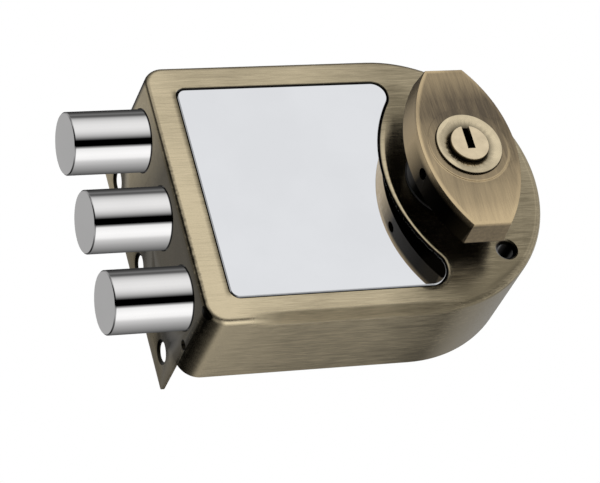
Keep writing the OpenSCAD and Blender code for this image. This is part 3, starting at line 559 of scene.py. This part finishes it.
# Share of its colour that each metal keeps where painted shade makes it black, and the black of painted shade
# on chrome
SHADED_BRONZE_SHARE = 0.012
SHADED_BRASS_SHARE = 0.015
SHADE_BLACK = (0.004, 0.004, 0.004)


def brushed_brass(
    name, light, dark, along, wear_and_light_places, painted_shade_places, relief=None, soft_places=None, streaks=0.2
):
    """Antique brass brushed along x or z, with places rubbed light or brightened by painted light, and places
    made black by painted shade.
    """
    shader = Shader(name)
    shader.set(metallic=1.0, anisotropic=1.0)
    fine = [1.0 / (0.3 * MM)] * 3
    fine["xyz".index(along)] = 1.0 / (6 * MM)
    broad = [value / 5 for value in fine]
    streak = shader.noise(1.0, fine, detail=3.0, rough=0.6)
    band = shader.noise(1.0, broad, shift=(3, 1, 2))
    cloud = shader.noise(1.0 / (35 * MM), shift=(5, 5, 5))
    wear_and_light = shader.plus(
        wear_and_light_places(shader),
        shader.spread(cloud, 0.3, 0.7, -0.15, 0.15),
        shader.spread(band, 0.3, 0.7, -0.08, 0.08),
        shader.spread(streak, 0.3, 0.7, -streaks, streaks),
    )
    tone = shader.blend(shader.spread(wear_and_light, 0.0, 1.0), dark, light)
    # Painted shade: the tone goes black where the shade places say
    shader.feed(shader.blend(painted_shade_places(shader), tone, scaled(dark, SHADED_BRONZE_SHARE)), "Base Color")
    rough = shader.spread(streak, 0.25, 0.75, 0.16, 0.26)
    if soft_places:
        rough = shader.plus(rough, soft_places(shader))
    shader.feed(rough, "Roughness")
    shader.bump(streak, 0.12, 0.008, (relief(shader), 0.3) if relief else None)
    # The slight slant keeps the anisotropy steady on faces that look along the brushing
    shader.brushed_along({"x": (1, 0, 0.05), "z": (0.03, 0.05, 1)}[along])
    return shader.material


def cylinder_brass(name, base, rough, painted_shade_places):
    """Satin brass with fine mottling and dark places of painted shade."""
    shader = Shader(name)
    shader.set(metallic=1.0)
    cloud = shader.noise(1.0 / (3 * MM), detail=4.0)
    grain = shader.noise(1.0 / (0.5 * MM), shift=(2, 4, 1))
    tone = shader.blend(shader.spread(cloud, 0.35, 0.65), scaled(base, 0.86), base)
    # Painted shade: the tone goes black where the shade places say
    shader.feed(shader.blend(painted_shade_places(shader), tone, scaled(base, SHADED_BRASS_SHARE)), "Base Color")
    shader.feed(shader.spread(grain, 0.3, 0.7, rough * 0.9, rough * 1.1), "Roughness")
    shader.bump(grain, 0.05, 0.004)
    return shader.material


def polished(name, base, rough, painted_shade_places=None):
    """Chrome or mirror glass: near-perfect, with the slightest haze."""
    shader = Shader(name)
    shader.set(metallic=1.0)
    haze = shader.noise(1.0 / (20 * MM), detail=3.0)
    tone = shader.blend(shader.spread(haze, 0.35, 0.65), scaled(base, 0.97), base)
    # Painted shade: black where the shade places say
    if painted_shade_places:
        tone = shader.blend(painted_shade_places(shader), tone, SHADE_BLACK)
    shader.feed(tone, "Base Color")
    shader.feed(shader.spread(haze, 0.3, 0.7, rough, rough * 1.6), "Roughness")
    return shader.material


def plain_finish(name, base, rough, vary=0.12, metallic=1.0):
    """Machined or plated metal, plastic or foam, with faint mottling."""
    shader = Shader(name)
    shader.set(metallic=metallic)
    cloud = shader.noise(1.0 / (6 * MM), detail=3.0)
    grain = shader.noise(1.0 / (0.6 * MM), shift=(2, 4, 1))
    shader.feed(shader.blend(shader.spread(cloud, 0.35, 0.65), scaled(base, 1 - vary), base), "Base Color")
    shader.feed(shader.spread(grain, 0.3, 0.7, rough * 0.8, rough * 1.25), "Roughness")
    shader.bump(grain, 0.12, 0.01)
    return shader.material


# Mesh building


def add_object(name, bm, material):
    """Makes a bmesh into an object of the scene."""
    mesh = bpy.data.meshes.new(name)
    bm.to_mesh(mesh)
    bm.free()
    mesh.materials.append(material)
    made = bpy.data.objects.new(name, mesh)
    bpy.context.scene.collection.objects.link(made)
    return made


def finish_piece(bm, name, body, material, replaced, sharp_angle=32, bevel=None):
    """Makes a bmesh into a piece that rides on a body and stands for its CAD nodes.

    A bevel is the width of its rounding where the edges' weight is 1. Without one, the shading is
    evened instead.
    """
    bmesh.ops.recalc_face_normals(bm, faces=bm.faces)
    piece = add_object(name, bm, material)
    for face in piece.data.polygons:
        face.use_smooth = True
    piece.data.set_sharp_from_angle(angle=math.radians(sharp_angle))
    if bevel:
        rounding = piece.modifiers.new("Rounding", "BEVEL")
        rounding.width = bevel
        rounding.segments = 4
        rounding.limit_method = "WEIGHT"
        rounding.harden_normals = True
        rounding.use_clamp_overlap = True
        rounding.miter_outer = "MITER_ARC"
    else:
        even = piece.modifiers.new("Even shading", "WEIGHTED_NORMAL")
        even.keep_sharp = True
        even.weight = 80
    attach(piece, body)
    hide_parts(*replaced)
    return piece


def node_copy(node):
    """A merged copy of a CAD node's mesh, with its flat faces made whole."""
    bm = bmesh.new()
    bm.from_mesh(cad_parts[node].data)
    bmesh.ops.remove_doubles(bm, verts=bm.verts, dist=0.002 * MM)
    bmesh.ops.dissolve_degenerate(bm, dist=0.001 * MM, edges=bm.edges)
    bmesh.ops.dissolve_limit(
        bm, angle_limit=math.radians(0.4), verts=bm.verts, edges=bm.edges, use_dissolve_boundaries=False
    )
    return bm


def weigh_edges(bm, weight_of, least_angle=35):
    """Sets each sharp edge's bevel weight from weight_of(middle, rear), both in millimetres.

    The middle is the edge's middle point, and the rear is the y of its end that is nearer the door.
    """
    layer = bm.edges.layers.float.new("bevel_weight_edge")
    bm.normal_update()
    for edge in bm.edges:
        if len(edge.link_faces) != 2 or edge.calc_face_angle(0.0) < math.radians(least_angle):
            continue
        start, end = (vert.co / MM for vert in edge.verts)
        edge[layer] = weight_of((start + end) / 2, max(start.y, end.y))


def turned(profile, centre, steps):
    """Spins a profile of (x, radius) points about a line along x; all are in millimetres."""
    bm = bmesh.new()
    axis = Vector((1, 0, 0))
    out = axis.orthogonal().normalized()
    verts = [bm.verts.new((centre + axis * along + out * radius) * MM) for along, radius in profile]
    edges = [bm.edges.new(pair) for pair in zip(verts, verts[1:])]
    bmesh.ops.spin(
        bm, geom=verts + edges, cent=centre * MM, axis=axis, dvec=(0, 0, 0),
        angle=math.tau, steps=steps, use_merge=True, use_normal_flip=False, use_duplicate=False,
    )
    bmesh.ops.remove_doubles(bm, verts=bm.verts, dist=0.0005 * MM)
    return bm


# Pieces


class LOCK_OT_case(bpy.types.Operator):
    """Makes the case with its flange, with rounded edges and a brushed antique finish with painted light and
    shade
    """

    bl_idname = "lock.case"
    bl_label = "Case"

    def execute(self, context):
        sizes, colours = context.scene.lock_sizes, context.scene.lock_colours
        small = sizes.edge_round / sizes.ridge_round

        def weight(middle, rear):
            from_arc = abs(math.hypot(middle.x - ARC_CENTRE.x, middle.z - ARC_CENTRE.z) - ARC_R)
            if rear < FRONT_Y + 0.05:
                return 1.0 if from_arc < 1.5 and abs(middle.z) < 36 else small
            if middle.x < WALL_X + 2:
                return small
            return small * 0.6 if middle.y > -0.1 else 0.0

        bm = node_copy("housing")
        weigh_edges(bm, weight)
        brass = brushed_brass(
            "antique brass case", colours.brass_light, colours.brass_dark, "x",
            case_wear_and_light, case_painted_shade, arc_lip, case_soft,
        )
        shell = finish_piece(
            bm, "case_shell", "case", brass, ["housing"], bevel=sizes.ridge_round
        )
        shell.visible_glossy = False
        return {"FINISHED"}


class LOCK_OT_mirror(bpy.types.Operator):
    """Makes the mirror plate of the front with a fine ground edge"""

    bl_idname = "lock.mirror"
    bl_label = "Mirror"

    def execute(self, context):
        sizes, colours = context.scene.lock_sizes, context.scene.lock_colours
        front = box_in_mm("mirror_panel")[0].y
        bm = node_copy("mirror_panel")
        weigh_edges(bm, lambda middle, rear: float(rear < front + 0.01))
        glass = polished("mirror glass", colours.mirror, 0.012)
        plate = finish_piece(
            bm, "mirror_plate", "case", glass, ["mirror_panel"], bevel=sizes.mirror_round
        )
        plate.visible_glossy = False
        return {"FINISHED"}


class LOCK_OT_bolts(bpy.types.Operator):
    """Turns the three polished bolts with their bevelled noses and wiper grooves"""

    bl_idname = "lock.bolts"
    bl_label = "Bolts"

    def execute(self, context):
        sizes, colours = context.scene.lock_sizes, context.scene.lock_colours
        chrome = polished("polished chrome", colours.chrome, 0.03, bolt_groove_shade)
        for name in ("bolt_top", "bolt_middle", "bolt_bottom"):
            low, high = box_in_mm(name)
            nose, tail = low.x, high.x
            radius = (high.z - low.z) / 2
            centre = Vector((0, (low.y + high.y) / 2, (low.z + high.z) / 2))
            blend = sizes.bolt_round / MM
            shoulder = radius - BOLT_BEVEL
            groove_floor = radius - GROOVE_DEPTH
            groove_end = GROOVE_START + GROOVE_W
            profile = [
                (nose, 0), (nose, shoulder - blend), (nose + 0.3 * blend, shoulder + 0.1 * blend),
                (nose + BOLT_BEVEL - 0.2 * blend, radius - 0.5 * blend), (nose + BOLT_BEVEL + blend, radius),
                (GROOVE_START, radius), (GROOVE_START, groove_floor),
                (groove_end, groove_floor), (groove_end, radius),
                (tail - TAIL_BEVEL, radius), (tail, radius - TAIL_BEVEL),
                (tail, TAP_R), (tail - TAP_DEPTH, TAP_R), (tail - TAP_DEPTH, 0),
            ]
            bm = turned(profile, centre, sizes.turned_steps)
            bolt = finish_piece(
                bm, name + "_polished", "bolt_carriage", chrome, [name], sharp_angle=30
            )
            bolt.visible_glossy = False
        return {"FINISHED"}


class LOCK_OT_knob(bpy.types.Operator):
    """Makes the knob with its rounded rim and a finish brushed along the grip, with painted light and shade
    """

    bl_idname = "lock.knob"
    bl_label = "Knob"

    def execute(self, context):
        sizes, colours = context.scene.lock_sizes, context.scene.lock_colours

        def weight(middle, rear):
            off_axis = math.hypot(middle.x, middle.z)
            outside_pad = off_axis > PAD_R + 1
            if outside_pad and middle.y < KNOB_TOP_Y + 1.2:
                return 1.0
            if outside_pad and abs(middle.y - GRIP_BACK_Y) < 0.4:
                return 0.6
            return 0.35 if off_axis > SEAT_R and middle.y < GRIP_BACK_Y + 0.1 else 0.0

        bm = node_copy("knob")
        weigh_edges(bm, weight, least_angle=30)
        brass = brushed_brass(
            "antique brass knob", colours.knob_light, colours.knob_dark, "z",
            knob_wear_and_light, knob_painted_shade, streaks=0.1,
        )
        finish_piece(bm, "knob_grip", "turn_knob", brass, ["knob"], bevel=sizes.knob_round)
        return {"FINISHED"}


class LOCK_OT_cylinder(bpy.types.Operator):
    """Makes the cylinder's dished ring and the key plug with its keyhole, both with painted shade"""

    bl_idname = "lock.cylinder"
    bl_label = "Cylinder and key plug"

    def execute(self, context):
        sizes, colours = context.scene.lock_sizes, context.scene.lock_colours
        ring_front = box_in_mm("cylinder_shell")[0].y
        bm = node_copy("cylinder_shell")
        weigh_edges(bm, lambda middle, rear: float(middle.y < ring_front + 1.3))
        ring_brass = cylinder_brass("ring brass", colours.ring_brass, 0.26, ring_painted_shade)
        finish_piece(
            bm, "cylinder_ring", "turn_knob", ring_brass, ["cylinder_shell"],
            bevel=sizes.ring_round,
        )

        def on_rim(middle, rear):
            return float(middle.y < PLUG_FACE_Y + 0.05 and math.hypot(middle.x, middle.z) > 6)

        bm = node_copy("key_plug")
        weigh_edges(bm, on_rim)
        plug_brass = cylinder_brass("plug brass", colours.plug_brass, 0.3, plug_painted_shade)
        finish_piece(bm, "plug_face", "plug", plug_brass, ["key_plug"], bevel=sizes.plug_round)
        return {"FINISHED"}


class LOCK_OT_inner_pieces(bpy.types.Operator):
    """Gives the pieces inside the case and on its back their finishes"""

    bl_idname = "lock.inner_pieces"
    bl_label = "Inner pieces"

    def execute(self, context):
        steel = plain_finish("zinc plated steel", context.scene.lock_colours.steel, 0.32)
        bright = plain_finish("ground steel", (0.62, 0.62, 0.62), 0.2)
        screws = plain_finish("screw steel", (0.45, 0.45, 0.45), 0.3)
        brass = plain_finish("machined brass", (0.68, 0.52, 0.26), 0.26)
        spring = plain_finish("blued spring steel", (0.16, 0.18, 0.24), 0.25)
        plastic = plain_finish("acetal", (0.72, 0.71, 0.66), 0.5, metallic=0.0, vary=0.04)
        # Near-black also as painted shade: the thrust washer stands in for the dark gap round the knob's neck
        dark = plain_finish("black acetal", (0.006, 0.006, 0.006), 0.8, metallic=0.0, vary=0.04)
        foam = plain_finish("foam pad", (0.6, 0.6, 0.58), 0.8, metallic=0.0, vary=0.1)
        bronze = plain_finish("oiled bronze", (0.16, 0.11, 0.06), 0.35)
        finishes = {
            "mirror_tape": foam, "back_plate": steel, "back_plate_screws": screws,
            "bush_top": bronze, "bush_middle": bronze, "bush_bottom": bronze,
            "carriage_bar": steel, "bolt_screws": screws, "drive_rack": steel, "rack_screws": screws,
            "guide_rod_upper": bright, "guide_rod_lower": bright, "rack_guide": plastic,
            "rack_guide_screws": screws, "detent_spring": spring, "detent_rivets": brass,
            "thrust_washer": dark, "spindle": steel, "spindle_screws": screws, "spindle_bush": brass,
            "pinion": steel, "pinion_pin": bright, "grub_screw": dark, "wafers": brass,
            "cam_pin": bright, "plug_clip": spring, "lock_slide": brass,
        }
        for name, material in finishes.items():
            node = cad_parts[name]
            for slot in node.material_slots:
                slot.material = material
            if not node.material_slots:
                node.data.materials.append(material)
            node.visible_glossy = False
        return {"FINISHED"}


# Studio

# The studio's sizes and places are in metres. Each ring of the tent gives its brightness as
# (degrees, brightness). Degrees run round the long axis: 0 is behind the door's face, 90 overhead,
# 180 in front and 270 below.
TENT_R = 3.0
TENT_HALF = 12.0
TENT_END = 0.1
TENT_END_LEFT = (0.17, 0.17, 0.17)
TENT_END_RIGHT = (0.4, 0.4, 0.4)
TENT_LEFT = (
    (0, 0.01), (14, 0.06), (27, 0.40), (60, 0.42), (85, 0.30), (100, 0.04), (130, 0.03), (190, 0.02),
    (203, 0.0), (224, 0.0), (240, 0.3), (270, 0.4), (300, 0.12), (335, 0.02), (360, 0.01),
)
TENT_NEAR_LEFT = (
    (0, 0.01), (14, 0.06), (27, 0.40), (60, 0.42), (85, 0.30), (100, 0.15), (114, 0.25), (132, 0.55),
    (145, 0.58), (160, 0.55), (172, 0.48), (187, 0.20), (203, 0.0), (224, 0.0), (240, 0.3),
    (270, 0.4), (300, 0.12), (335, 0.02), (360, 0.01),
)
TENT_MIDDLE = (
    (0, 0.11), (30, 0.05), (60, 0.03), (78, 0.08), (90, 0.18), (100, 0.09), (107, 0.14),
    (114, 0.40), (120, 0.56), (132, 0.74), (145, 0.84), (160, 0.86), (172, 0.78), (180, 0.65),
    (187, 0.50), (193, 0.32), (199, 0.12), (203, 0.0), (224, 0.0), (229, 0.35), (234, 0.90),
    (246, 1.02), (256, 1.06), (270, 1.0), (276, 0.88), (282, 0.70), (288, 0.60), (306, 0.42),
    (324, 0.30), (340, 0.21), (360, 0.12),
)
TENT_RIGHT = (
    (0, 0.65), (40, 0.5), (90, 0.3), (140, 0.5), (192, 0.5), (203, 0.4), (224, 0.4),
    (240, 0.6), (270, 0.8), (320, 0.7), (360, 0.65),
)
# Each ring after the first, with the start and end of the stretch where it takes over
TENT_NEXT = ((TENT_NEAR_LEFT, -3.4, -2.4), (TENT_MIDDLE, -0.9, 0.1), (TENT_RIGHT, 1.6, 2.2))

# Where the lamps aim, and each lamp's name, place, size and power in watts
LAMP_AIM = Vector((-0.04, -0.02, 0.0))
LAMPS = (
    ("key", (-0.6, -1.3, 0.9), (1.2, 1.2), 14),
    ("fill", (1.2, -1.0, 0.2), (1.2, 1.2), 7),
    ("under", (-0.4, -0.9, -0.5), (1.0, 0.6), 3),
)
WORLD_LEVEL = 0.45
FLOOR_HALF = 6.0
FLOOR_Z = -0.62

# The photograph's viewpoint, worked out from the lock's edges and circles, with turns in degrees
CAMERA_PLACE = (-0.41290643, -0.77540754, -0.46349068)
CAMERA_TURN = (119.26982877, 14.09293327, -17.90292263)
CAMERA_LENS = 181.93


def tent_ring(shader, turn, stops):
    """One ring of the tent's brightness, read by the turn round the long axis."""
    ramp = shader.add("ShaderNodeValToRGB")
    points = ramp.color_ramp.elements
    while len(points) < len(stops):
        points.new(0.5)
    for point, (degrees, level) in zip(points, stops):
        point.position = degrees / 360.0
        point.color = (level, level, level, 1.0)
    shader.tree.links.new(turn, ramp.inputs["Fac"])
    return ramp.outputs["Color"]


def tent_glow():
    """The tent's glowing material, whose rings pass into each other along it."""
    shader = Shader("light tent")
    x, y, z = shader.place()
    turn = shader.maths("DIVIDE", shader.maths("ARCTAN2", z, y), math.tau)
    turn = shader.maths("FRACT", shader.plus(turn, 1.0))
    level = tent_ring(shader, turn, TENT_LEFT)
    for stops, start, end in TENT_NEXT:
        level = shader.blend(shader.rise(x, start / MM, end / MM), level, tent_ring(shader, turn, stops))
    outer, inner = TENT_HALF / MM, (TENT_HALF - TENT_END) / MM
    level = shader.blend(shader.rise(x, -outer, -inner), TENT_END_LEFT, level)
    level = shader.blend(shader.rise(x, inner, outer), level, TENT_END_RIGHT)
    glow = shader.add("ShaderNodeEmission")
    shader.tree.links.new(level, glow.inputs["Color"])
    shader.tree.nodes.remove(shader.shade)
    shader.join(glow, "Emission", shader.output, "Surface")
    return shader.material


def light_tent():
    """A long white tent with a dark slot for the camera, which only reflections see."""
    bm = bmesh.new()
    bmesh.ops.create_cone(
        bm, cap_ends=True, segments=96, radius1=TENT_R, radius2=TENT_R, depth=2 * TENT_HALF,
        matrix=Matrix.Rotation(math.radians(90), 4, "Y"),
    )
    tent = add_object("light_tent", bm, tent_glow())
    tent.visible_camera = False
    tent.visible_diffuse = False
    tent.visible_shadow = False
    tent.visible_transmission = False


def soft_box(name, place, size, power):
    """A large area lamp aimed at the lock, which lights but isn't seen in reflections."""
    lamp = bpy.data.lights.new(name, "AREA")
    lamp.shape = "RECTANGLE"
    lamp.size, lamp.size_y = size
    lamp.energy = power
    holder = bpy.data.objects.new(name, lamp)
    holder.location = place
    holder.rotation_euler = (LAMP_AIM - Vector(place)).to_track_quat("-Z", "Y").to_euler()
    bpy.context.scene.collection.objects.link(holder)
    holder.visible_glossy = False


def pale_floor(base):
    """A pale floor well below the lock, because the camera looks up from beneath it."""
    bm = bmesh.new()
    bmesh.ops.create_grid(bm, x_segments=1, y_segments=1, size=FLOOR_HALF)
    bmesh.ops.translate(bm, verts=bm.verts, vec=(0, 0, FLOOR_Z))
    shader = Shader("pale floor")
    shader.set(roughness=0.8)
    grain = shader.noise(40.0)
    shader.feed(shader.blend(shader.spread(grain, 0.3, 0.7), scaled(base, 0.985), base), "Base Color")
    floor = add_object("floor", bm, shader.material)
    floor.visible_glossy = False


def studio_world():
    """A world that is white to the camera and in reflections, and a soft light for the rest."""
    world = bpy.data.worlds.new("studio")
    world.use_nodes = True
    nodes, links = world.node_tree.nodes, world.node_tree.links
    nodes.clear()
    rays = nodes.new("ShaderNodeLightPath")
    mix = nodes.new("ShaderNodeMixShader")
    for strength, socket in ((WORLD_LEVEL, mix.inputs[1]), (1.0, mix.inputs[2])):
        level = nodes.new("ShaderNodeBackground")
        level.inputs["Color"].default_value = (1, 1, 1, 1)
        level.inputs["Strength"].default_value = strength
        links.new(level.outputs[0], socket)
    seen = rays.outputs["Is Camera Ray"]
    for kind in ("Is Glossy Ray", "Is Transmission Ray"):
        either = nodes.new("ShaderNodeMath")
        either.operation = "MAXIMUM"
        links.new(seen, either.inputs[0])
        links.new(rays.outputs[kind], either.inputs[1])
        seen = either.outputs[0]
    links.new(seen, mix.inputs["Fac"])
    links.new(mix.outputs[0], nodes.new("ShaderNodeOutputWorld").inputs["Surface"])
    return world


def photo_camera():
    """A camera at the photograph's viewpoint."""
    camera = bpy.data.cameras.new("camera")
    camera.lens = CAMERA_LENS
    camera.sensor_width = 36.0
    camera.clip_start = 0.05
    camera.clip_end = 50.0
    holder = bpy.data.objects.new("camera", camera)
    holder.location = CAMERA_PLACE
    holder.rotation_euler = Euler([math.radians(turn) for turn in CAMERA_TURN], "XYZ")
    bpy.context.scene.collection.objects.link(holder)
    return holder


class LOCK_OT_stage(bpy.types.Operator):
    """Sets up the world, the floor, the light tent, the lamps and the camera"""

    bl_idname = "lock.stage"
    bl_label = "Stage"

    def execute(self, context):
        scene = context.scene
        scene.world = studio_world()
        pale_floor(scene.lock_colours.floor)
        light_tent()
        for lamp in LAMPS:
            soft_box(*lamp)
        scene.camera = photo_camera()
        scene.view_settings.view_transform = "Standard"
        return {"FINISHED"}


class LOCK_PT_sidebar(bpy.types.Panel):
    """Lists the lock's pieces, sizes and colours"""

    bl_idname = "LOCK_PT_sidebar"
    bl_label = "Door lock"
    bl_space_type = "VIEW_3D"
    bl_region_type = "UI"
    bl_category = "Door lock"

    def draw(self, context):
        layout = self.layout
        for operator in PIECES:
            layout.operator(operator.bl_idname)
        for group in (context.scene.lock_sizes, context.scene.lock_colours):
            box = layout.box()
            for name in group.bl_rna.properties.keys():
                if name not in ("rna_type", "name"):
                    box.prop(group, name)


PIECES = (
    LOCK_OT_case,
    LOCK_OT_mirror,
    LOCK_OT_bolts,
    LOCK_OT_knob,
    LOCK_OT_cylinder,
    LOCK_OT_inner_pieces,
    LOCK_OT_stage,
)
CLASSES = (LockSizes, LockColours, *PIECES, LOCK_PT_sidebar)


def register():
    """Registers the classes and hangs the sizes and colours on the scene."""
    for cls in CLASSES:
        bpy.utils.register_class(cls)
    bpy.types.Scene.lock_sizes = PointerProperty(type=LockSizes)
    bpy.types.Scene.lock_colours = PointerProperty(type=LockColours)


def unregister():
    """Takes the properties and classes away again."""
    del bpy.types.Scene.lock_colours
    del bpy.types.Scene.lock_sizes
    for cls in reversed(CLASSES):
        bpy.utils.unregister_class(cls)


def main():
    """Makes every piece and the stage."""
    register()
    for operator in PIECES:
        group, name = operator.bl_idname.split(".")
        getattr(getattr(bpy.ops, group), name)()


if __name__ == "__main__":
    main()
